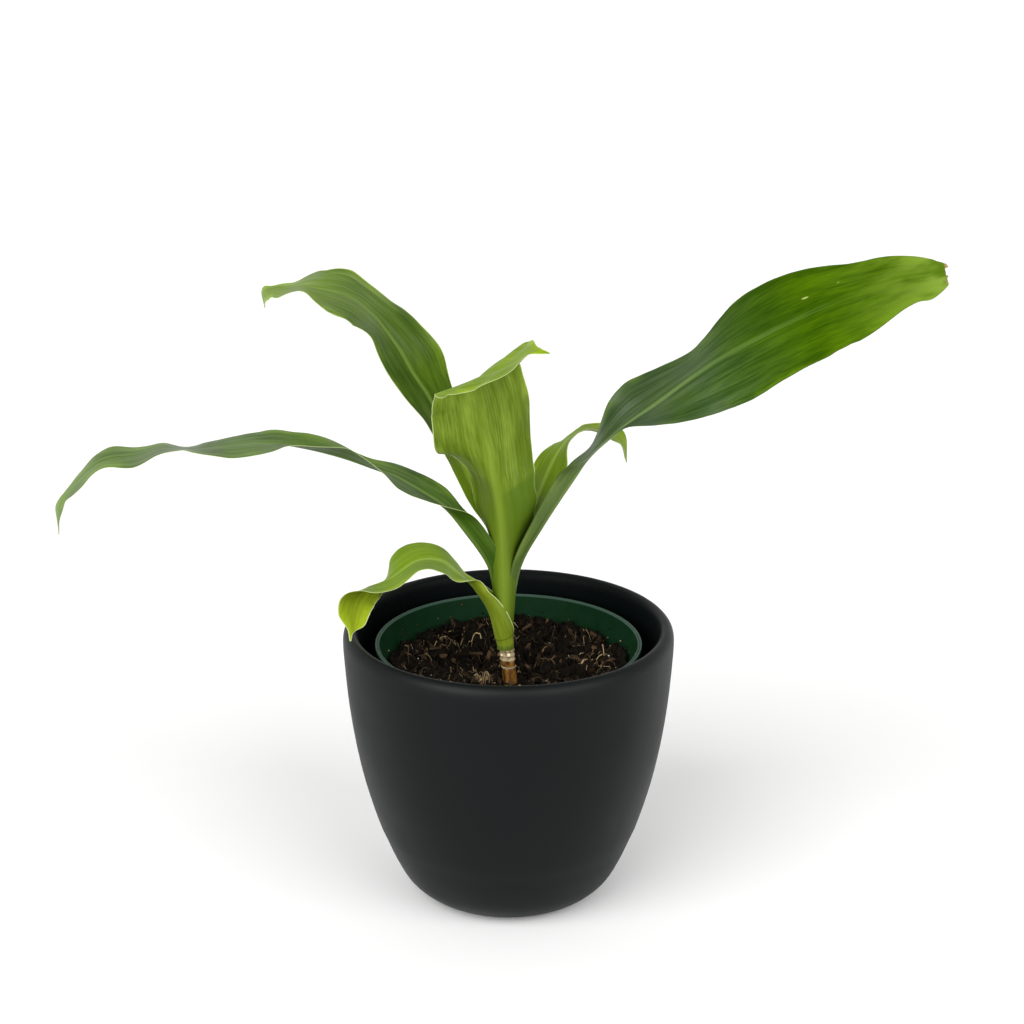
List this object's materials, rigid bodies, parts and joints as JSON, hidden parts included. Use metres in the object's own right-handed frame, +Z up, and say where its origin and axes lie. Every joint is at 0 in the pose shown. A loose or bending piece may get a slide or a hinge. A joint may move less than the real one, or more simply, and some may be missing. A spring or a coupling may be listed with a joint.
{
  "type": "potted corn plant",
  "caption": "Young house plant with long strap leaves on a short cane, in a grow pot that stands inside a rounded matte planter.",
  "frame": {"origin": "middle of the planter's flat foot, on the surface it stands on", "axes": "+Z up the pot's axis, -Y towards the viewer, +X to the viewer's right along the plant's longest reach"},
  "size_m": [0.3865, 0.15, 0.305],
  "materials": {
    "planter": "matte charcoal, faintly satin",
    "grow_pot": "dark green moulded plastic, thin satin wall",
    "potting_mix": "moist dark brown fibrous mix, rough",
    "cane": "dry papery brown cane with pale leaf scars",
    "leaf": "mid green leaf, soft satin sheen, fine lengthwise veins",
    "young_leaf": "fresh yellow green leaf, satin, thin pale margin",
    "leaf_underside": "paler yellow green underside, nearly matte, pale midrib band"
  },
  "bodies": {
    "root": {"planter": "planter", "nursery_pot": "grow_pot", "potting_mix": "potting_mix", "stem": "cane", "shoot": "young_leaf", "leaf_lower_left": "young_leaf", "leaf_center": "leaf_underside", "leaf_right": "leaf", "leaf_left": "leaf", "leaf_rear_right": "young_leaf", "leaf_upper_left": "leaf"}
  },
  "joints": []
}
